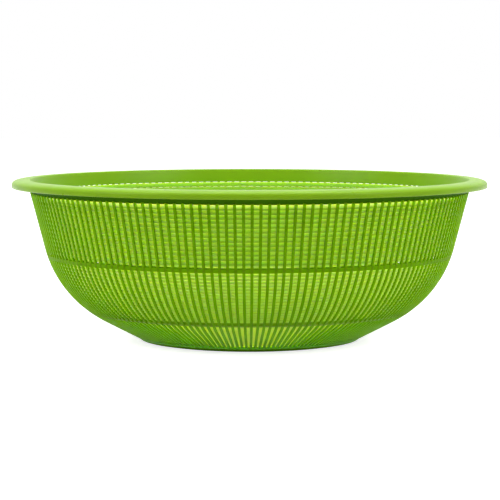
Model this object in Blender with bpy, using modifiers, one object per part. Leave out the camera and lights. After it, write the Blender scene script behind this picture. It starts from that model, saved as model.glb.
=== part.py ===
"""Round soil sieve: a bowl moulded in green plastic, with a rolled rim, a lattice wall and a foot ring.

The lattice has two layers, as such moulds cut it: upright ribs outside and thin hoops behind them.
Metres, Z up, origin on the ground at the middle of the foot.
"""

import math

import bmesh
import bpy

# Overall sizes
RIM_RADIUS = 0.200
HEIGHT = 0.1375
FOOT_RADIUS = 0.0951
FOOT_HEIGHT = 0.0032
CLEARANCE = 0.0003

# Wall line: a straight cone from the rim, one arc, and a flatter cone down to the foot
LIP_OVERHANG = 0.0115
WALL_DRAFT = math.radians(14.5)
BASE_DRAFT = math.radians(62.5)
WALL_ARC_RADIUS = 0.0948

# Rolled rim
LIP_DROP = 0.0068
LIP_EDGE = 0.0028
LIP_WALL = 0.0024
LIP_STEM = 0.0012
CREST_ROUND = 0.0012
SHOULDER_ROUND = 0.004
EDGE_ROUND = 0.0022

# Plain bands, measured down the wall
COLLAR_WALL = 0.0026
COLLAR_HEIGHT = 0.0125
MID_BAND_HEIGHT = 0.0034
LOWER_BAND_HEIGHT = 0.0044
LOWER_BAND_INSET = 0.0008
SKIRT_HEIGHT = 0.0032
BAND_DEPTH = 0.0014

# Lattice: its rows fill the wall that the plain bands leave
RIB_COUNT = 172
RIB_PANELS = 8
RIB_PHASE = 0.24
RIB_WIDTH_TOP = 0.0024
RIB_WIDTH_FOOT = 0.002
RIB_DEPTH = 0.0016
UPPER_HOOPS = 13
LOWER_HOOPS = 17
BASE_HOOPS = 13
UPPER_ROW_RATIO = 1.21
HOOP_HEIGHT = 0.0017
HOOP_DEPTH = 0.0014

# Foot and floor
FOOT_STEP = 0.0005
FOOT_TAPER = 0.0019
FOOT_EDGE = 0.0015
FOOT_BEVEL = 0.0082
FOOT_REACH = 0.0131
FLOOR_THICKNESS = 0.002
FLOOR_EDGE = 0.009
FLOOR_RINGS = 6
FLOOR_RING_WIDTH = 0.002
FLOOR_HUB_RADIUS = 0.016
SPOKE_COUNT = 16
SPOKE_WIDTH = 0.0026

# Facets
RING_FACETS = 60
ARC_STEPS = 4
FILLET_STEPS = 2
HOOP_SAG = 0.0008
WELD = 1e-6

# Colours, linear RGB
RIM_GREEN = (0.24, 0.45, 0.03)
RIB_GREEN = (0.12, 0.29, 0.006)
HOOP_GREEN = (0.22, 0.44, 0.02)
FOOT_GREEN = (0.10, 0.25, 0.006)
PLASTIC_ROUGHNESS = 0.38


def wall_line():
    """Straight length, arc centre (r, z) and length of the base cone of the wall's outer face."""
    top = (RIM_RADIUS - LIP_OVERHANG, HEIGHT)
    down = (-math.sin(WALL_DRAFT), -math.cos(WALL_DRAFT))
    base = (-math.sin(BASE_DRAFT), -math.cos(BASE_DRAFT))
    chord_r = WALL_ARC_RADIUS * (math.cos(BASE_DRAFT) - math.cos(WALL_DRAFT))
    chord_z = WALL_ARC_RADIUS * (math.sin(WALL_DRAFT) - math.sin(BASE_DRAFT))
    rest = (FOOT_RADIUS - top[0] - chord_r, FOOT_HEIGHT - top[1] - chord_z)
    cross = down[0] * base[1] - down[1] * base[0]
    straight = (rest[0] * base[1] - rest[1] * base[0]) / cross
    base_run = (down[0] * rest[1] - down[1] * rest[0]) / cross
    centre_r = top[0] + straight * down[0] - WALL_ARC_RADIUS * math.cos(WALL_DRAFT)
    centre_z = top[1] + straight * down[1] + WALL_ARC_RADIUS * math.sin(WALL_DRAFT)
    return straight, (centre_r, centre_z), base_run


STRAIGHT, ARC_CENTRE, BASE_RUN = wall_line()
ARC_LENGTH = WALL_ARC_RADIUS * (BASE_DRAFT - WALL_DRAFT)
WALL_LENGTH = STRAIGHT + ARC_LENGTH + BASE_RUN


def wall_point(distance):
    """Point (r, z) of the wall's outer face, this far down it from the height of the crest."""
    before = max(STRAIGHT - distance, 0.0)
    along = min(max(distance - STRAIGHT, 0.0), ARC_LENGTH)
    beyond = max(distance - STRAIGHT - ARC_LENGTH, 0.0)
    angle = WALL_DRAFT + along / WALL_ARC_RADIUS
    radius = ARC_CENTRE[0] + WALL_ARC_RADIUS * math.cos(angle)
    height = ARC_CENTRE[1] - WALL_ARC_RADIUS * math.sin(angle)
    radius += before * math.sin(WALL_DRAFT) - beyond * math.sin(BASE_DRAFT)
    height += before * math.cos(WALL_DRAFT) - beyond * math.cos(BASE_DRAFT)
    return radius, height


# Levels down the wall
LATTICE_LENGTH = WALL_LENGTH - COLLAR_HEIGHT - MID_BAND_HEIGHT - LOWER_BAND_HEIGHT - SKIRT_HEIGHT
UPPER_ROWS = UPPER_HOOPS + 1
LOWER_ROWS = LOWER_HOOPS + 1
BASE_ROWS = BASE_HOOPS + 1
ROW_PITCH = LATTICE_LENGTH / (UPPER_ROW_RATIO * UPPER_ROWS + LOWER_ROWS + BASE_ROWS)
UPPER_ROW_PITCH = UPPER_ROW_RATIO * ROW_PITCH
RIB_TOP = COLLAR_HEIGHT + CLEARANCE
MID_BAND_TOP = COLLAR_HEIGHT + UPPER_ROWS * UPPER_ROW_PITCH
LOWER_ZONE_TOP = MID_BAND_TOP + MID_BAND_HEIGHT
LOWER_BAND_TOP = LOWER_ZONE_TOP + LOWER_ROWS * ROW_PITCH
BASE_ZONE_TOP = LOWER_BAND_TOP + LOWER_BAND_HEIGHT
SKIRT_TOP = BASE_ZONE_TOP + BASE_ROWS * ROW_PITCH


def cage_stations():
    """Distances down the wall at which the ribs bend, from the collar to the foot."""
    step = ARC_LENGTH / ARC_STEPS
    bends = [STRAIGHT + step * number for number in range(ARC_STEPS + 1)]
    return [RIB_TOP, *bends, SKIRT_TOP, WALL_LENGTH]


CAGE_STATIONS = cage_stations()


def behind_ribs(distance, depth):
    """Point (r, z) this far down the wall and this deep inside the ribs' outer face."""
    stretches = list(zip(CAGE_STATIONS, CAGE_STATIONS[1:]))
    near, far = next((ends for ends in stretches if distance <= ends[1]), stretches[-1])
    first, last = wall_point(near), wall_point(far)
    run = (last[0] - first[0], last[1] - first[1])
    length = math.hypot(*run)
    share = (distance - near) / (far - near)
    radius = first[0] + share * run[0] + depth * run[1] / length
    height = first[1] + share * run[1] - depth * run[0] / length
    return radius, height


def behind_wall(distance, depth):
    """Point (r, z) this far down the straight wall and this deep inside it."""
    radius, height = wall_point(distance)
    return radius - depth * math.cos(WALL_DRAFT), height + depth * math.sin(WALL_DRAFT)


def fillet(before, corner, after, radius, steps):
    """Points of an arc that rounds a corner, no longer than half of either side."""
    back = (before[0] - corner[0], before[1] - corner[1])
    onward = (after[0] - corner[0], after[1] - corner[1])
    lengths = (math.hypot(*back), math.hypot(*onward))
    cosine = (back[0] * onward[0] + back[1] * onward[1]) / (lengths[0] * lengths[1])
    half = math.acos(cosine) / 2
    reach = min(radius / math.tan(half), lengths[0] / 2, lengths[1] / 2)
    points = []
    for step in range(steps + 1):
        share = step / steps
        weights = ((1 - share) ** 2 * reach / lengths[0], share**2 * reach / lengths[1])
        points.append(tuple(corner[i] + weights[0] * back[i] + weights[1] * onward[i] for i in (0, 1)))
    return points


def rounded(corners):
    """Outline (r, z) from corners (r, z, rounding radius), with an arc at each rounded one."""
    outline = []
    for number, (radius, height, rounding) in enumerate(corners):
        before = corners[number - 1][:2]
        after = corners[(number + 1) % len(corners)][:2]
        if rounding:
            outline += fillet(before, (radius, height), after, rounding, FILLET_STEPS)
        else:
            outline.append((radius, height))
    return outline


def plastic(name, colour):
    material = bpy.data.materials.new(name)
    material.use_nodes = True
    shader = material.node_tree.nodes["Principled BSDF"]
    shader.inputs["Base Color"].default_value = (*colour, 1.0)
    shader.inputs["Roughness"].default_value = PLASTIC_ROUGHNESS
    shader.inputs["Metallic"].default_value = 0.0
    return material


def add_part(name, mesh, colour):
    part = bpy.data.objects.new(name, mesh)
    mesh.materials.append(plastic(name, colour))
    PARTS.objects.link(part)
    return part


def turned_ring(name, outline, facets, colour):
    """Ring turned about Z from a closed outline that runs down its outer side."""
    mesh = bpy.data.meshes.new(name)
    points = [(radius, 0.0, height) for radius, height in outline]
    edges = [(number, (number + 1) % len(points)) for number in range(len(points))]
    mesh.from_pydata(points, edges, [])
    ring = add_part(name, mesh, colour)
    screw = ring.modifiers.new("Turn", "SCREW")
    screw.axis = "Z"
    screw.angle = 2 * math.pi
    screw.steps = facets
    screw.render_steps = facets
    screw.use_smooth_shade = True
    return ring


def ribbed_sheet(name, rows, open_rows, spread, split, thickness, colour):
    """Turned sheet with ribs: rows of (radius, height, rib width), and gaps cut from the open rows.

    spread is the ribs' count in a full turn and the first and last rib made here, and split is the
    gap left at either end, in the middle between two ribs. A full turn without a gap is welded shut.
    """
    count, first, last = spread
    columns = 2 * (last - first) + 3
    last_row = len(rows) - 1
    sheet = bmesh.new()
    bmesh.ops.create_grid(sheet, x_segments=columns, y_segments=last_row, size=0.5)
    gaps = []
    for face in sheet.faces:
        middle = face.calc_center_median()
        column = math.floor((middle.x + 0.5) * columns)
        row = math.floor((middle.y + 0.5) * last_row)
        if column % 2 == 0 and row in open_rows:
            gaps.append(face)
    bmesh.ops.delete(sheet, geom=gaps, context="FACES")
    pitch = 2 * math.pi / count
    for vert in sheet.verts:
        column = round((vert.co.x + 0.5) * columns)
        radius, height, width = rows[round((vert.co.y + 0.5) * last_row)]
        inverse = 1 / radius if radius else 0.0
        if column == 0:
            angle = pitch * (first - 0.5) + split / 2 * inverse
        elif column == columns:
            angle = pitch * (last + 0.5) - split / 2 * inverse
        else:
            rib, side = divmod(column - 1, 2)
            angle = pitch * (first + rib) + (side - 0.5) * width * inverse
        angle += pitch * RIB_PHASE - math.pi / 2
        vert.co = (radius * math.cos(angle), radius * math.sin(angle), height)
    bmesh.ops.remove_doubles(sheet, verts=sheet.verts, dist=WELD)
    mesh = bpy.data.meshes.new(name)
    sheet.to_mesh(mesh)
    sheet.free()
    part = add_part(name, mesh, colour)
    wall = part.modifiers.new("Wall", "SOLIDIFY")
    wall.thickness = thickness
    wall.offset = -1.0
    wall.use_even_offset = True
    return part


def hoop_facets(radius):
    """Facets that keep a hoop's chords within the allowed sag."""
    return math.ceil(math.pi / math.acos(1 - HOOP_SAG / radius))


def add_rim_lip():
    """Rolled rim: a stem on the collar, a sloping top and a short turned-down edge."""
    crest = RIM_RADIUS - LIP_OVERHANG
    edge_bottom = HEIGHT - LIP_DROP
    shoulder = edge_bottom + LIP_EDGE
    slope = (HEIGHT - shoulder) / LIP_OVERHANG
    drop = LIP_WALL * math.hypot(1.0, slope)
    inner_edge = RIM_RADIUS - LIP_WALL
    roll_depth = drop / (1 + slope * math.tan(WALL_DRAFT))
    stem_end = roll_depth / math.cos(WALL_DRAFT) + LIP_STEM
    roll_root = wall_point(roll_depth / math.cos(WALL_DRAFT))
    stem_outer = wall_point(stem_end)
    inner_shift = COLLAR_WALL / math.cos(WALL_DRAFT)
    stem_inner = behind_wall(stem_end, COLLAR_WALL)
    corners = [
        (crest - inner_shift, HEIGHT, CREST_ROUND),
        (crest, HEIGHT, SHOULDER_ROUND),
        (RIM_RADIUS, shoulder, EDGE_ROUND),
        (RIM_RADIUS, edge_bottom, 0.0),
        (inner_edge, edge_bottom, 0.0),
        (inner_edge, HEIGHT - drop - slope * (inner_edge - crest), 0.0),
        (*roll_root, 0.0),
        (*stem_outer, 0.0),
        (*stem_inner, 0.0),
    ]
    turned_ring("rim_lip", rounded(corners), RING_FACETS, RIM_GREEN)
    return stem_end


def add_collar_band(top):
    outline = [
        wall_point(top),
        wall_point(COLLAR_HEIGHT),
        behind_wall(COLLAR_HEIGHT, COLLAR_WALL),
        behind_wall(top, COLLAR_WALL),
    ]
    turned_ring("collar_band", outline, RING_FACETS, RIM_GREEN)


def rib_width(radius):
    """Ribs taper evenly with the radius, from the collar to the skirt."""
    top = wall_point(RIB_TOP)[0]
    foot = wall_point(SKIRT_TOP)[0]
    share = (radius - foot) / (top - foot)
    return RIB_WIDTH_FOOT + share * (RIB_WIDTH_TOP - RIB_WIDTH_FOOT)


def add_rib_panels():
    """Upright ribs on a plain skirt above the foot, split into panels between ribs, from the foot up."""
    points = [wall_point(distance) for distance in reversed(CAGE_STATIONS)]
    rows = [(radius, height, rib_width(radius)) for radius, height in points]
    open_rows = range(1, len(rows) - 1)
    for panel in range(RIB_PANELS):
        first = RIB_COUNT * panel // RIB_PANELS
        last = RIB_COUNT * (panel + 1) // RIB_PANELS - 1
        name = f"rib_panel_{panel + 1}"
        ribbed_sheet(name, rows, open_rows, (RIB_COUNT, first, last), CLEARANCE, RIB_DEPTH, RIB_GREEN)


def add_hoop(name, distance):
    """Thin hoop behind the ribs, flat towards them and pointed inwards."""
    back = RIB_DEPTH + CLEARANCE
    outline = [
        behind_ribs(distance - HOOP_HEIGHT / 2, back),
        behind_ribs(distance + HOOP_HEIGHT / 2, back),
        behind_ribs(distance, back + HOOP_DEPTH),
    ]
    turned_ring(name, outline, hoop_facets(outline[0][0]), HOOP_GREEN)


def add_hoops(name, count, zone_top, pitch):
    """Evenly spaced hoops down one zone of the wall."""
    for number in range(1, count + 1):
        add_hoop(f"{name}_{number:02d}", zone_top + pitch * number)


def add_band(name, top, end):
    """Plain band behind the ribs, from one distance down the wall to another."""
    back = RIB_DEPTH + CLEARANCE
    front = back + BAND_DEPTH
    outline = [
        behind_ribs(top, back),
        behind_ribs(end, back),
        behind_ribs(end, front),
        behind_ribs(top, front),
    ]
    turned_ring(name, outline, RING_FACETS, RIB_GREEN)


def add_foot_ring():
    """Foot: a low ring under the skirt, with a wide bevel in to the flat that lies on the ground."""
    top = FOOT_HEIGHT - CLEARANCE
    inner = FOOT_RADIUS - FOOT_REACH
    outline = [
        (FOOT_RADIUS - FOOT_STEP, top),
        (FOOT_RADIUS - FOOT_TAPER, FOOT_EDGE),
        (FOOT_RADIUS - FOOT_BEVEL, 0.0),
        (inner, 0.0),
        (inner, top),
    ]
    turned_ring("foot_ring", outline, RING_FACETS, FOOT_GREEN)


def add_floor_grid():
    """Perforated floor on the foot: a hub, spokes, rings with even gaps and a wide edge."""
    edge = behind_ribs(WALL_LENGTH, RIB_DEPTH)[0] - CLEARANCE
    gap_count = FLOOR_RINGS + 1
    open_width = edge - FLOOR_EDGE - FLOOR_HUB_RADIUS - FLOOR_RINGS * FLOOR_RING_WIDTH
    gap = open_width / gap_count
    radii = [0.0]
    for number in range(gap_count):
        start = FLOOR_HUB_RADIUS + number * (gap + FLOOR_RING_WIDTH)
        radii += [start, start + gap]
    radii.append(edge)
    rows = [(radius, FOOT_HEIGHT, SPOKE_WIDTH) for radius in radii]
    open_rows = range(1, len(rows) - 1, 2)
    spread = (SPOKE_COUNT, 0, SPOKE_COUNT - 1)
    ribbed_sheet("floor_grid", rows, open_rows, spread, 0.0, FLOOR_THICKNESS, HOOP_GREEN)


for leftover in list(bpy.data.objects):
    bpy.data.objects.remove(leftover)
PARTS = bpy.data.collections.new("soil_sieve")
bpy.context.scene.collection.children.link(PARTS)

lip_end = add_rim_lip()
add_collar_band(lip_end + CLEARANCE)
add_rib_panels()
add_hoops("upper_hoop", UPPER_HOOPS, COLLAR_HEIGHT, UPPER_ROW_PITCH)
add_band("mid_band", MID_BAND_TOP, LOWER_ZONE_TOP)
add_hoops("lower_hoop", LOWER_HOOPS, LOWER_ZONE_TOP, ROW_PITCH)
add_band("lower_band", LOWER_BAND_TOP + LOWER_BAND_INSET, BASE_ZONE_TOP - LOWER_BAND_INSET)
add_hoops("base_hoop", BASE_HOOPS, BASE_ZONE_TOP, ROW_PITCH)
add_foot_ring()
add_floor_grid()
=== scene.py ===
"""Looks of the round soil sieve: a glossy rolled rim, rounded ribs over fine hoops, all in green plastic.

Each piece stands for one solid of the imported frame. Metres, Z up, origin on the ground under the middle.
"""

import math

import bmesh
import bpy
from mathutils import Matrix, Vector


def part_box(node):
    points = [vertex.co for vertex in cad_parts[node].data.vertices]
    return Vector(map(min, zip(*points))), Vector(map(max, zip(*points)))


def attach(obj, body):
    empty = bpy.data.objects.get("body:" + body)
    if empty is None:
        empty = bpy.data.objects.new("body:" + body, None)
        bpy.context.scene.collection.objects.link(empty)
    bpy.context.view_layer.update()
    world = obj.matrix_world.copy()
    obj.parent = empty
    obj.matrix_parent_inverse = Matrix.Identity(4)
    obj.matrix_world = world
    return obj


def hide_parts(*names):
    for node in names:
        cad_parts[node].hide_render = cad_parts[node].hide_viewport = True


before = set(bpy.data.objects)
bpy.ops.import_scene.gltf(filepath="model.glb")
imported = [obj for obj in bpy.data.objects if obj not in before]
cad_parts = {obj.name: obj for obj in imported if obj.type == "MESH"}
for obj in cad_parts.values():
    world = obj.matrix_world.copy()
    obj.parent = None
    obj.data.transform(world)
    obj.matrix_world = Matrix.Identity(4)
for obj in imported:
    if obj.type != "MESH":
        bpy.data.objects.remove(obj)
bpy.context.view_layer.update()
RIM_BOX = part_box("rim_lip")
FOOT_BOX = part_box("foot_ring")
FLOOR_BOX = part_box("floor_grid")

# Overall sizes, from the frame. The wall ends a small step outside the foot
RIM_RADIUS = RIM_BOX[1][0]
HEIGHT = RIM_BOX[1][2]
FOOT_STEP = 0.0005
FOOT_RADIUS = FOOT_BOX[1][0] + FOOT_STEP
FOOT_HEIGHT = FLOOR_BOX[0][2]
FLOOR_RADIUS = FLOOR_BOX[1][0]

# Wall line: a straight cone from the rim, one arc, and a flatter cone down to the foot
LIP_OVERHANG = 0.0115
WALL_DRAFT = math.radians(14.5)
BASE_DRAFT = math.radians(62.5)
WALL_ARC_RADIUS = 0.0948

# Rolled rim: its lip follows a rounded curve, the squarer the higher its power
LIP_SPREAD = 0.001
LIP_DROP = 0.0068
LIP_CURVE = 0.0050
LIP_POWER = 3.0
LIP_WALL = 0.0024
LIP_STEPS = 16
CREST_ROUND = 0.0012
HEM_ROUND = 0.0008

# Plain bands, measured down the wall, and how far each lies behind the ribs' outer face
COLLAR_TOP = 0.004
COLLAR_HEIGHT = 0.0125
COLLAR_RECESS = 0.0012
COLLAR_DEPTH = 0.0026
MID_BAND_HEIGHT = 0.0034
MID_BAND_RECESS = 0.0002
LOWER_BAND_HEIGHT = 0.0044
LOWER_BAND_RECESS = 0.0005
LOWER_BAND_INSET = 0.0008
SKIRT_HEIGHT = 0.0032
BAND_DEPTH = 0.0033
BAND_ROUND = 0.0003

# Lattice: ribs outside, hoops behind them
RIB_COUNT = 172
RIB_PHASE = 0.31
RIB_TOP = 0.0112
RIB_WIDTH_TOP = 0.0024
RIB_WIDTH_FOOT = 0.002
RIB_DEPTH = 0.0016
RIB_ROUND = 0.0004
RIB_ROUND_STEPS = 2
SKIRT_ROWS = 2
UPPER_HOOPS = 13
LOWER_HOOPS = 17
BASE_HOOPS = 13
UPPER_ROW_RATIO = 1.21
HOOP_ROUND = 0.0003
# How squarely a hoop face must look out or in to get its own painted light or shade
FRONT_LEAN = 0.8

# Hoop sections: height, height of the front edge, depths of front and inside behind the ribs' outer face
UPPER_HOOP = (0.0031, 0.0014, 0.00095, 0.0045)
LOWER_HOOP = (0.0017, 0.0011, 0.00095, 0.0038)
BASE_HOOP = (0.0013, 0.0011, 0.0014, 0.0035)

# Foot and floor
FOOT_TAPER = 0.0019
FOOT_EDGE = 0.0015
FOOT_BEVEL = 0.0105
FOOT_REACH = 0.0131
FOOT_ROUND = 0.0030
FLOOR_RIB_WIDTH = 0.0018
FLOOR_RIB_DEPTH = 0.0011
FLOOR_RIB_CREST = 0.7
FLOOR_HOOP_WIDTH = 0.0017
FLOOR_HOOP_CREST = 0.6
FLOOR_HOOP_PITCH = 0.0031
FLOOR_HUB_RADIUS = 0.013
FLOOR_BORE_RADIUS = 0.003

# Floor ribs: places round the floor and the radius where their ribs start
FLOOR_TIERS = ((42, 0.011), (84, 0.031), (168, 0.061))

# Facets
RING_SEGMENTS = 336
WALL_STEPS = 30
FILLET_STEPS = 3
SHARP_ANGLE = math.radians(38.0)

# Camera and light. A light has a place and a size
CAMERA_PLACE = (0.0004, -1.763, 0.2208)
CAMERA_PITCH = math.radians(-4.682)
CAMERA_LENS = 149.4
SENSOR_WIDTH = 36.0

TOP_LIGHT = ((0.0, 0.1, 1.8), 2.0)
TOP_WATTS = 37.0
SIDE_LIGHTS = {"left": ((-1.5, -0.8, 1.1), 1.2), "right": ((1.5, -0.8, 1.1), 1.2)}
SIDE_WATTS = 12.5
SKY_FRONT = 0.1
SKY_BACK = 0.8

# Stage floor: its grey where it is lit, and the white added to the eye, more of it further out
STAGE_HALF = 6.0
STAGE_SHADE = 0.62
STAGE_NEAR = 0.25
STAGE_FAR = 1.4
STAGE_LIFT_NEAR = 0.8
STAGE_LIFT_FAR = 1.0

# Colours, linear RGB, and how far they drift darker. GREEN is the plastic's own colour; the others are
# copies of it with painted light or painted shade.
GREEN = (0.22, 0.42, 0.005)
# Painted light: the upper hoops' tops, much lighter than the plastic, as if lit through from inside
GREEN_PAINTED_HOOP_LIGHT = (0.61, 0.89, 0.15)
# Painted light and shade: lighter than the plastic but darker than the hoop tops, so that hoop fronts and
# insides look shaded; the floor grid has it too
GREEN_PAINTED_HALF_LIGHT = (0.34, 0.62, 0.06)
# Painted light: the lower hoops, lighter than the plastic, as if lit through from inside
GREEN_PAINTED_LOWER_LIGHT = (0.50, 0.75, 0.11)
# Painted shade: a darker copy of the green for the mid band and the foot
GREEN_PAINTED_BAND_SHADE = (0.165, 0.41, 0.001)
# Painted shade: a darker copy of the green for the ribs
GREEN_PAINTED_RIB_SHADE = (0.14, 0.33, 0.001)
# Painted shadow of the lip: a far darker copy of the green for the collar's outer face
GREEN_PAINTED_LIP_SHADOW = (0.05, 0.165, 0.0005)
# Painted light: the base hoops, far lighter than the plastic, as if lit through from inside
GREEN_PAINTED_BASE_LIGHT = (0.75, 0.97, 0.16)
DRIFT = 0.94
DRIFT_START = 0.3
DRIFT_END = 0.7

# Finishes: roughness, mirror share, share of light that enters and how deep it goes
RIM_FINISH = (0.30, 0.12, 0.3, 0.004)
BAND_FINISH = (0.5, 0.02, 0.0, 0.004)
RIB_FINISH = (0.5, 0.04, 1.0, 0.012)
HOOP_FINISH = (0.5, 0.05, 1.0, 0.008)
BASE_FINISH = (0.5, 0.05, 1.0, 0.012)
GLOW_RADIUS = (0.7, 1.0, 0.06)
SHEEN_SPREAD = 0.06
PEEL_STRENGTH = 0.06
PEEL_HEIGHT = 0.0003

# Noise: scale and detail
DRIFT_NOISE = (30.0, 3.0)
SHEEN_NOISE = (90.0, 2.0)
PEEL_NOISE = (700.0, 2.0)


def wall_line():
    """Straight length, arc centre (r, z) and length of the base cone of the wall's outer face."""
    top = (RIM_RADIUS - LIP_OVERHANG, HEIGHT)
    down = (-math.sin(WALL_DRAFT), -math.cos(WALL_DRAFT))
    base = (-math.sin(BASE_DRAFT), -math.cos(BASE_DRAFT))
    chord_r = WALL_ARC_RADIUS * (math.cos(BASE_DRAFT) - math.cos(WALL_DRAFT))
    chord_z = WALL_ARC_RADIUS * (math.sin(WALL_DRAFT) - math.sin(BASE_DRAFT))
    rest = (FOOT_RADIUS - top[0] - chord_r, FOOT_HEIGHT - top[1] - chord_z)
    cross = down[0] * base[1] - down[1] * base[0]
    straight = (rest[0] * base[1] - rest[1] * base[0]) / cross
    base_run = (down[0] * rest[1] - down[1] * rest[0]) / cross
    centre_r = top[0] + straight * down[0] - WALL_ARC_RADIUS * math.cos(WALL_DRAFT)
    centre_z = top[1] + straight * down[1] + WALL_ARC_RADIUS * math.sin(WALL_DRAFT)
    return straight, (centre_r, centre_z), base_run


STRAIGHT, ARC_CENTRE, BASE_RUN = wall_line()
ARC_LENGTH = WALL_ARC_RADIUS * (BASE_DRAFT - WALL_DRAFT)
WALL_LENGTH = STRAIGHT + ARC_LENGTH + BASE_RUN


def wall_at(distance, depth=0.0):
    """Point (r, z) this far down the wall from the crest and this deep behind its outer face."""
    before = max(STRAIGHT - distance, 0.0)
    along = min(max(distance - STRAIGHT, 0.0), ARC_LENGTH)
    beyond = max(distance - STRAIGHT - ARC_LENGTH, 0.0)
    angle = WALL_DRAFT + along / WALL_ARC_RADIUS
    reach = WALL_ARC_RADIUS - depth
    radius = ARC_CENTRE[0] + reach * math.cos(angle)
    height = ARC_CENTRE[1] - reach * math.sin(angle)
    radius += before * math.sin(WALL_DRAFT) - beyond * math.sin(BASE_DRAFT)
    height += before * math.cos(WALL_DRAFT) - beyond * math.cos(BASE_DRAFT)
    return radius, height


# Levels down the wall: the lattice rows fill what the plain bands leave
LATTICE_LENGTH = WALL_LENGTH - COLLAR_HEIGHT - MID_BAND_HEIGHT - LOWER_BAND_HEIGHT - SKIRT_HEIGHT
UPPER_ROWS = UPPER_HOOPS + 1
LOWER_ROWS = LOWER_HOOPS + 1
BASE_ROWS = BASE_HOOPS + 1
ROW_PITCH = LATTICE_LENGTH / (UPPER_ROW_RATIO * UPPER_ROWS + LOWER_ROWS + BASE_ROWS)
UPPER_ROW_PITCH = UPPER_ROW_RATIO * ROW_PITCH
MID_BAND_TOP = COLLAR_HEIGHT + UPPER_ROWS * UPPER_ROW_PITCH
LOWER_ZONE_TOP = MID_BAND_TOP + MID_BAND_HEIGHT
LOWER_BAND_TOP = LOWER_ZONE_TOP + LOWER_ROWS * ROW_PITCH
BASE_ZONE_TOP = LOWER_BAND_TOP + LOWER_BAND_HEIGHT
SKIRT_TOP = BASE_ZONE_TOP + BASE_ROWS * ROW_PITCH


def fillet(before, corner, after, radius):
    """Points of an arc that rounds a corner, no longer than half of either side."""
    back = (before[0] - corner[0], before[1] - corner[1])
    onward = (after[0] - corner[0], after[1] - corner[1])
    lengths = (math.hypot(*back), math.hypot(*onward))
    cosine = (back[0] * onward[0] + back[1] * onward[1]) / (lengths[0] * lengths[1])
    half = math.acos(cosine) / 2
    reach = min(radius / math.tan(half), lengths[0] / 2, lengths[1] / 2)
    points = []
    for step in range(FILLET_STEPS + 1):
        share = step / FILLET_STEPS
        weights = ((1 - share) ** 2 * reach / lengths[0], share**2 * reach / lengths[1])
        points.append(tuple(corner[i] + weights[0] * back[i] + weights[1] * onward[i] for i in (0, 1)))
    return points


def rounded(corners):
    """Outline (r, z) from corners (r, z, rounding radius), with an arc at each rounded one."""
    outline = []
    for number, (radius, height, rounding) in enumerate(corners):
        before = corners[number - 1][:2]
        after = corners[(number + 1) % len(corners)][:2]
        if rounding:
            outline += fillet(before, (radius, height), after, rounding)
        else:
            outline.append((radius, height))
    return outline


def finish_piece(name, body, material, nodes):
    """Turns a bmesh into a smooth-shaded piece that rides on the root and stands for CAD nodes."""
    mesh = bpy.data.meshes.new(name)
    body.to_mesh(mesh)
    body.free()
    mesh.shade_smooth()
    mesh.set_sharp_from_angle(angle=SHARP_ANGLE)
    mesh.materials.append(material)
    piece = bpy.data.objects.new(name, mesh)
    bpy.context.scene.collection.objects.link(piece)
    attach(piece, "root")
    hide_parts(*nodes)
    return piece


def add_ring(body, outline, segments):
    """Turns a closed outline (r, z) about Z into a ring of the bmesh."""
    loops = []
    for step in range(segments):
        angle = 2 * math.pi * step / segments
        x, y = math.cos(angle), math.sin(angle)
        loops.append([body.verts.new((radius * x, radius * y, height)) for radius, height in outline])
    for step, loop in enumerate(loops):
        before = loops[step - 1]
        for number in range(len(outline)):
            body.faces.new((before[number - 1], loop[number - 1], loop[number], before[number]))


def turned_piece(name, outline, material):
    """Ring-shaped piece that stands for the CAD node of the same place."""
    body = bmesh.new()
    add_ring(body, outline, RING_SEGMENTS)
    bmesh.ops.recalc_face_normals(body, faces=body.faces)
    return finish_piece(name + "_skin", body, material, [name])


def add_rim_lip(material):
    """Rolled rim: a stem on the collar and a lip that curves outwards and down to a soft hem."""
    crest = RIM_RADIUS - LIP_OVERHANG
    overhang = LIP_OVERHANG + LIP_SPREAD
    edge = crest + overhang
    edge_bottom = HEIGHT - LIP_DROP
    inner_shift = COLLAR_DEPTH / math.cos(WALL_DRAFT)
    outer = []
    under = []
    for step in range(LIP_STEPS + 1):
        turn = math.pi / 2 * step / LIP_STEPS
        across = math.sin(turn) ** (2 / LIP_POWER)
        drop = 1 - math.cos(turn) ** (2 / LIP_POWER)
        outer.append((crest + overhang * across, HEIGHT - LIP_CURVE * drop, 0.0))
        reach = (overhang - LIP_WALL) * across
        under.append((crest + reach, HEIGHT - LIP_WALL - (LIP_CURVE - LIP_WALL / 2) * drop, 0.0))
    corners = [(crest - inner_shift, HEIGHT, CREST_ROUND), *outer]
    corners += [(edge, edge_bottom, HEM_ROUND), (edge - LIP_WALL, edge_bottom, HEM_ROUND)]
    corners += reversed(under)
    corners += [(*wall_at(COLLAR_TOP, COLLAR_RECESS), 0.0), (*wall_at(COLLAR_TOP, COLLAR_DEPTH), 0.0)]
    turned_piece("rim_lip", rounded(corners), material)


def add_band(name, top, end, recess, depth, top_round, material):
    """Plain band round the wall, with softened edges."""
    corners = [
        (*wall_at(top, recess), top_round),
        (*wall_at(end, recess), BAND_ROUND),
        (*wall_at(end, depth), BAND_ROUND),
        (*wall_at(top, depth), top_round),
    ]
    return turned_piece(name, rounded(corners), material)


def paint_light_by_facing(piece, outer, inner, lean):
    """Gives the faces that look outwards, and those that look inwards, materials of their own: lighter and
    darker copies of the green, so that light and shade are painted in by the way a face looks.
    """
    piece.data.materials.append(outer)
    piece.data.materials.append(inner)
    for face in piece.data.polygons:
        outwards = face.center.xy.normalized().dot(face.normal.xy)
        if outwards > lean:
            face.material_index = 1
        elif outwards < -lean:
            face.material_index = 2


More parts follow.
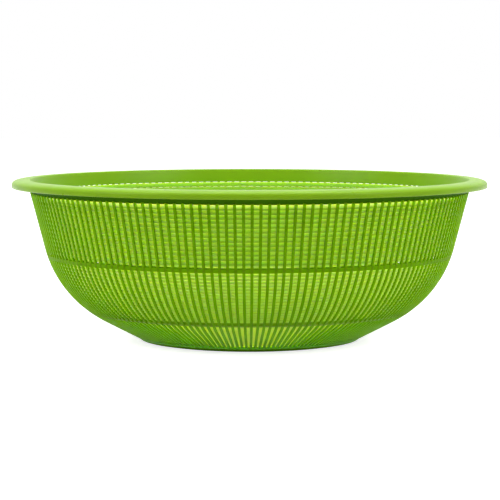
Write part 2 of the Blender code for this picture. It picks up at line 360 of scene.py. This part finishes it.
def add_hoop(name, front, inner, depths, material):
    """Thin hoop behind the ribs, from a low front edge sunk into them to a taller inner side."""
    corners = [
        (*wall_at(front[0], depths[0]), HOOP_ROUND),
        (*wall_at(front[1], depths[0]), 0.0),
        (*wall_at(inner[1], depths[1]), HOOP_ROUND),
        (*wall_at(inner[0], depths[1]), HOOP_ROUND),
    ]
    return turned_piece(name, rounded(corners), material)


def add_hoops(name, count, zone_top, pitch, section, materials):
    """Evenly spaced hoops down one zone of the wall. Their materials are those of top, front and inside,
    copies of the green with light and shade painted in by the way each face looks.

    The first hoop's inner side reaches further up, and the last one's reaches down to the next band.
    """
    height, edge, *depths = section
    top_material, outer, inner_material = materials
    for number in range(1, count + 1):
        middle = zone_top + pitch * number
        front = (middle - edge / 2, middle + edge / 2)
        inner = [front[1] - height, front[1]]
        if number == 1:
            inner[0] -= edge / 2
        if number == count:
            inner[1] += pitch - edge / 2
        hoop = add_hoop(f"{name}_{number:02d}", front, inner, depths, top_material)
        paint_light_by_facing(hoop, outer, inner_material, FRONT_LEAN)


def rib_width(radius):
    """Ribs taper evenly with the radius, from the collar to the skirt."""
    top = wall_at(COLLAR_HEIGHT)[0]
    foot = wall_at(SKIRT_TOP)[0]
    share = (radius - foot) / (top - foot)
    return RIB_WIDTH_FOOT + share * (RIB_WIDTH_TOP - RIB_WIDTH_FOOT)


def rib_rows():
    """Rows (r, z, rib width) of the ribs' outer face, from the foot up to the rim."""
    step = (SKIRT_TOP - RIB_TOP) / WALL_STEPS
    distances = [WALL_LENGTH, (WALL_LENGTH + SKIRT_TOP) / 2]
    distances += [SKIRT_TOP - step * number for number in range(WALL_STEPS + 1)]
    points = [wall_at(distance) for distance in distances]
    return [(radius, height, rib_width(radius)) for radius, height in points]


def add_rib_panel(name, first, last, material):
    """Upright ribs on a plain skirt: a grid with gaps cut, bent round the wall, thickened and rounded."""
    rows = rib_rows()
    last_row = len(rows) - 1
    columns = 2 * (last - first) + 3
    sheet = bmesh.new()
    bmesh.ops.create_grid(sheet, x_segments=columns, y_segments=last_row, size=0.5)
    gaps = []
    for face in sheet.faces:
        middle = face.calc_center_median()
        column = math.floor((middle.x + 0.5) * columns)
        row = math.floor((middle.y + 0.5) * last_row)
        if column % 2 == 0 and row >= SKIRT_ROWS:
            gaps.append(face)
    bmesh.ops.delete(sheet, geom=gaps, context="FACES")
    pitch = 2 * math.pi / RIB_COUNT
    for vert in sheet.verts:
        column = round((vert.co.x + 0.5) * columns)
        radius, height, width = rows[round((vert.co.y + 0.5) * last_row)]
        if column == 0:
            turn = first - 0.5
        elif column == columns:
            turn = last + 0.5
        else:
            rib, side = divmod(column - 1, 2)
            turn = first + rib + (side - 0.5) * width / (radius * pitch)
        angle = pitch * (turn + RIB_PHASE) - math.pi / 2
        vert.co = (radius * math.cos(angle), radius * math.sin(angle), height)
    piece = finish_piece(name + "_skin", sheet, material, [name])
    wall = piece.modifiers.new("Wall", "SOLIDIFY")
    wall.thickness = RIB_DEPTH
    wall.offset = -1.0
    wall.use_even_offset = True
    edges = piece.modifiers.new("Edges", "BEVEL")
    edges.width = RIB_ROUND
    edges.segments = RIB_ROUND_STEPS
    edges.limit_method = "ANGLE"
    edges.angle_limit = SHARP_ANGLE
    edges.harden_normals = True
    return piece


def add_rib_panels(material):
    """One piece for each rib panel of the frame, with an even share of the ribs."""
    panels = sorted(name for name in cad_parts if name.startswith("rib_panel"))
    for number, name in enumerate(panels):
        first = RIB_COUNT * number // len(panels)
        last = RIB_COUNT * (number + 1) // len(panels) - 1
        add_rib_panel(name, first, last, material)


def add_foot_ring(material):
    """Foot: a low ring under the skirt, with a wide soft bevel in to the flat on the ground."""
    inner = FOOT_RADIUS - FOOT_REACH
    corners = [
        (FOOT_RADIUS - FOOT_STEP, FOOT_HEIGHT, 0.0),
        (FOOT_RADIUS - FOOT_TAPER, FOOT_EDGE, FOOT_ROUND),
        (FOOT_RADIUS - FOOT_BEVEL, 0.0, FOOT_ROUND),
        (inner, 0.0, BAND_ROUND),
        (inner, FOOT_HEIGHT, 0.0),
    ]
    turned_piece("foot_ring", rounded(corners), material)


def add_floor_rib(body, angle, start, end):
    """Straight floor rib with a ridged top, from one radius out to another."""
    half = FLOOR_RIB_WIDTH / 2
    crest = half * FLOOR_RIB_CREST
    section = ((-half, 0.0), (half, 0.0), (crest, FLOOR_RIB_DEPTH), (-crest, FLOOR_RIB_DEPTH))
    ends = []
    for radius in (start, end):
        corners = []
        for side, rise in section:
            x = radius * math.cos(angle) - side * math.sin(angle)
            y = radius * math.sin(angle) + side * math.cos(angle)
            corners.append(body.verts.new((x, y, FOOT_HEIGHT + rise)))
        ends.append(corners)
    for number in range(len(section)):
        body.faces.new((ends[0][number - 1], ends[0][number], ends[1][number], ends[1][number - 1]))
    body.faces.new(ends[0])
    body.faces.new(ends[1])


def add_floor_grid(material):
    """Fine floor mesh: a hub, radial ribs, more of them towards the edge, and rings across their tops."""
    body = bmesh.new()
    half = FLOOR_HOOP_WIDTH / 2
    crest = half * FLOOR_HOOP_CREST
    for tier, (count, start) in enumerate(FLOOR_TIERS):
        for number in range(count):
            if tier and number % 2 == 0:
                continue
            angle = 2 * math.pi * (number + 0.5) / count
            add_floor_rib(body, angle, start, FLOOR_RADIUS)
    radius = FLOOR_HUB_RADIUS + FLOOR_HOOP_PITCH
    low = FOOT_HEIGHT + FLOOR_RIB_DEPTH - BAND_ROUND
    high = FLOOR_BOX[1][2]
    while radius < FLOOR_RADIUS - half:
        outer = [(radius + half, low), (radius + crest, high)]
        inner = [(radius - crest, high), (radius - half, low)]
        add_ring(body, outer + inner, RING_SEGMENTS // 2)
        radius += FLOOR_HOOP_PITCH
    hub = [(FLOOR_HUB_RADIUS, FOOT_HEIGHT), (FLOOR_HUB_RADIUS, high - BAND_ROUND)]
    hub += [(FLOOR_BORE_RADIUS, high), (FLOOR_BORE_RADIUS, FOOT_HEIGHT)]
    add_ring(body, hub, RING_SEGMENTS // 4)
    bmesh.ops.recalc_face_normals(body, faces=body.faces)
    finish_piece("floor_grid_skin", body, material, ["floor_grid"])


def noise(nodes, links, coordinates, scale, detail):
    """Noise texture that follows the piece's own coordinates."""
    texture = nodes.new("ShaderNodeTexNoise")
    texture.inputs["Scale"].default_value = scale
    texture.inputs["Detail"].default_value = detail
    links.new(coordinates.outputs["Object"], texture.inputs["Vector"])
    return texture


def plastic(name, colour, finish):
    """Moulded green plastic: faint colour drift, uneven sheen and an orange-peel skin."""
    roughness, specular, glow, depth = finish
    material = bpy.data.materials.new(name)
    material.use_nodes = True
    nodes = material.node_tree.nodes
    links = material.node_tree.links
    shader = nodes["Principled BSDF"]
    shader.inputs["Specular IOR Level"].default_value = specular
    shader.inputs["Subsurface Weight"].default_value = glow
    shader.inputs["Subsurface Radius"].default_value = GLOW_RADIUS
    shader.inputs["Subsurface Scale"].default_value = depth
    place = nodes.new("ShaderNodeTexCoord")

    drift = noise(nodes, links, place, *DRIFT_NOISE)
    colours = nodes.new("ShaderNodeValToRGB")
    colours.color_ramp.elements[0].position = DRIFT_START
    colours.color_ramp.elements[0].color = (*(DRIFT * part for part in colour), 1.0)
    colours.color_ramp.elements[1].position = DRIFT_END
    colours.color_ramp.elements[1].color = (*colour, 1.0)
    links.new(drift.outputs["Fac"], colours.inputs["Fac"])
    links.new(colours.outputs["Color"], shader.inputs["Base Color"])

    sheen = noise(nodes, links, place, *SHEEN_NOISE)
    spread = nodes.new("ShaderNodeMapRange")
    spread.inputs["To Min"].default_value = roughness - SHEEN_SPREAD
    spread.inputs["To Max"].default_value = roughness + SHEEN_SPREAD
    links.new(sheen.outputs["Fac"], spread.inputs["Value"])
    links.new(spread.outputs["Result"], shader.inputs["Roughness"])

    peel = noise(nodes, links, place, *PEEL_NOISE)
    bump = nodes.new("ShaderNodeBump")
    bump.inputs["Strength"].default_value = PEEL_STRENGTH
    bump.inputs["Distance"].default_value = PEEL_HEIGHT
    links.new(peel.outputs["Fac"], bump.inputs["Height"])
    links.new(bump.outputs["Normal"], shader.inputs["Normal"])
    return material


def seen_directly(nodes, links):
    """1 for camera, glossy and transmission rays, which see the white background, else 0."""
    path = nodes.new("ShaderNodeLightPath")
    total = path.outputs["Is Camera Ray"]
    for name in ("Is Glossy Ray", "Is Transmission Ray"):
        either = nodes.new("ShaderNodeMath")
        either.operation = "MAXIMUM"
        links.new(total, either.inputs[0])
        links.new(path.outputs[name], either.inputs[1])
        total = either.outputs[0]
    return total


def add_world():
    """White to the eye; as light, a pale backdrop behind the object and a dim room in front of it."""
    world = bpy.data.worlds.new("Studio")
    bpy.context.scene.world = world
    world.use_nodes = True
    nodes = world.node_tree.nodes
    links = world.node_tree.links
    sky = nodes["Background"]
    place = nodes.new("ShaderNodeTexCoord")
    split = nodes.new("ShaderNodeSeparateXYZ")
    links.new(place.outputs["Generated"], split.inputs[0])
    rise = nodes.new("ShaderNodeMapRange")
    rise.inputs["From Min"].default_value = -1.0
    rise.inputs["From Max"].default_value = 1.0
    rise.inputs["To Min"].default_value = SKY_FRONT
    rise.inputs["To Max"].default_value = SKY_BACK
    links.new(split.outputs["Y"], rise.inputs["Value"])
    links.new(rise.outputs["Result"], sky.inputs["Strength"])
    white = nodes.new("ShaderNodeBackground")
    mix = nodes.new("ShaderNodeMixShader")
    white.inputs["Color"].default_value = (1.0, 1.0, 1.0, 1.0)
    sky.inputs["Color"].default_value = (1.0, 1.0, 1.0, 1.0)
    links.new(seen_directly(nodes, links), mix.inputs["Fac"])
    links.new(sky.outputs[0], mix.inputs[1])
    links.new(white.outputs[0], mix.inputs[2])
    links.new(mix.outputs[0], nodes["World Output"].inputs["Surface"])


def add_stage_floor():
    """Pale floor: white to the eye, with the object's soft shadow on it."""
    mesh = bpy.data.meshes.new("stage_floor")
    corners = [(x * STAGE_HALF, y * STAGE_HALF, 0.0) for x, y in ((-1, -1), (1, -1), (1, 1), (-1, 1))]
    mesh.from_pydata(corners, [], [(0, 1, 2, 3)])
    floor = bpy.data.objects.new("stage_floor", mesh)
    bpy.context.scene.collection.objects.link(floor)
    material = bpy.data.materials.new("stage_white")
    material.use_nodes = True
    nodes = material.node_tree.nodes
    links = material.node_tree.links
    shader = nodes["Principled BSDF"]
    shader.inputs["Base Color"].default_value = (STAGE_SHADE, STAGE_SHADE, STAGE_SHADE, 1.0)
    shader.inputs["Roughness"].default_value = 1.0
    shader.inputs["Specular IOR Level"].default_value = 0.0
    shader.inputs["Emission Color"].default_value = (1.0, 1.0, 1.0, 1.0)
    place = nodes.new("ShaderNodeTexCoord")
    distance = nodes.new("ShaderNodeVectorMath")
    distance.operation = "LENGTH"
    links.new(place.outputs["Object"], distance.inputs[0])
    fade = nodes.new("ShaderNodeMapRange")
    fade.inputs["From Min"].default_value = STAGE_NEAR
    fade.inputs["From Max"].default_value = STAGE_FAR
    fade.inputs["To Min"].default_value = STAGE_LIFT_NEAR
    fade.inputs["To Max"].default_value = STAGE_LIFT_FAR
    links.new(distance.outputs["Value"], fade.inputs["Value"])
    lift = nodes.new("ShaderNodeMath")
    lift.operation = "MULTIPLY"
    links.new(seen_directly(nodes, links), lift.inputs[0])
    links.new(fade.outputs["Result"], lift.inputs[1])
    links.new(lift.outputs[0], shader.inputs["Emission Strength"])
    mesh.materials.append(material)


def add_light(name, place, size, watts):
    """Round soft lamp that looks at the middle of the object."""
    lamp = bpy.data.lights.new(name, "AREA")
    lamp.shape = "DISK"
    lamp.size = size
    lamp.energy = watts
    light = bpy.data.objects.new(name, lamp)
    light.location = place
    reach = math.hypot(place[0], place[1])
    tilt = math.atan2(reach, place[2] - HEIGHT / 2)
    turn = math.atan2(place[1], place[0])
    light.rotation_euler = (0.0, tilt, turn)
    bpy.context.scene.collection.objects.link(light)


def add_camera():
    """Camera in front of the object, looking a little down."""
    camera = bpy.data.objects.new("Camera", bpy.data.cameras.new("Camera"))
    camera.data.sensor_width = SENSOR_WIDTH
    camera.data.lens = CAMERA_LENS
    camera.location = CAMERA_PLACE
    camera.rotation_euler = (math.pi / 2 + CAMERA_PITCH, 0.0, 0.0)
    bpy.context.scene.collection.objects.link(camera)
    bpy.context.scene.camera = camera


# Only gloss has the plastic's own green; the other materials carry painted light or painted shade in their
# colour
gloss = plastic("green_gloss", GREEN, RIM_FINISH)
# Mid band and foot: satin green with painted shade
satin_painted_shade = plastic("green_satin_painted_shade", GREEN_PAINTED_BAND_SHADE, BAND_FINISH)
# deep carries the lip's painted shadow
deep = plastic("green_painted_lip_shadow", GREEN_PAINTED_LIP_SHADOW, BAND_FINISH)
# Ribs: the green with painted shade
painted_rib_shade = plastic("green_painted_rib_shade", GREEN_PAINTED_RIB_SHADE, RIB_FINISH)
# Upper hoop tops: the green with painted light
painted_hoop_light = plastic("green_painted_hoop_light", GREEN_PAINTED_HOOP_LIGHT, HOOP_FINISH)
# Hoop fronts, hoop insides and floor grid: the green with painted light, dimmer than on the tops
painted_half_light = plastic("green_painted_half_light", GREEN_PAINTED_HALF_LIGHT, HOOP_FINISH)
# Lower hoops: the green with painted light
painted_lower_light = plastic("green_painted_lower_light", GREEN_PAINTED_LOWER_LIGHT, HOOP_FINISH)
# Base hoops: the green with painted light
painted_base_light = plastic("green_painted_base_light", GREEN_PAINTED_BASE_LIGHT, BASE_FINISH)

add_rim_lip(gloss)
collar = add_band("collar_band", COLLAR_TOP, COLLAR_HEIGHT, COLLAR_RECESS, COLLAR_DEPTH, 0.0, deep)
# Painted lip shadow on the collar's outer faces; its inner faces keep the plain green
paint_light_by_facing(collar, deep, gloss, 0.0)
add_rib_panels(painted_rib_shade)
add_hoops("upper_hoop", UPPER_HOOPS, COLLAR_HEIGHT, UPPER_ROW_PITCH, UPPER_HOOP, (painted_hoop_light, painted_half_light, painted_half_light))
add_band("mid_band", MID_BAND_TOP, LOWER_ZONE_TOP, MID_BAND_RECESS, BAND_DEPTH, BAND_ROUND, satin_painted_shade)
add_hoops("lower_hoop", LOWER_HOOPS, LOWER_ZONE_TOP, ROW_PITCH, LOWER_HOOP, (painted_lower_light, painted_lower_light, painted_half_light))
lower_ends = (LOWER_BAND_TOP + LOWER_BAND_INSET, BASE_ZONE_TOP - LOWER_BAND_INSET)
add_band("lower_band", *lower_ends, LOWER_BAND_RECESS, BAND_DEPTH, BAND_ROUND, gloss)
add_hoops("base_hoop", BASE_HOOPS, BASE_ZONE_TOP, ROW_PITCH, BASE_HOOP, (painted_base_light, painted_base_light, painted_base_light))
add_foot_ring(satin_painted_shade)
add_floor_grid(painted_half_light)

add_world()
add_stage_floor()
add_light("top", *TOP_LIGHT, TOP_WATTS)
for side, light in SIDE_LIGHTS.items():
    add_light(side, *light, SIDE_WATTS)
add_camera()
bpy.context.scene.view_settings.view_transform = "Standard"
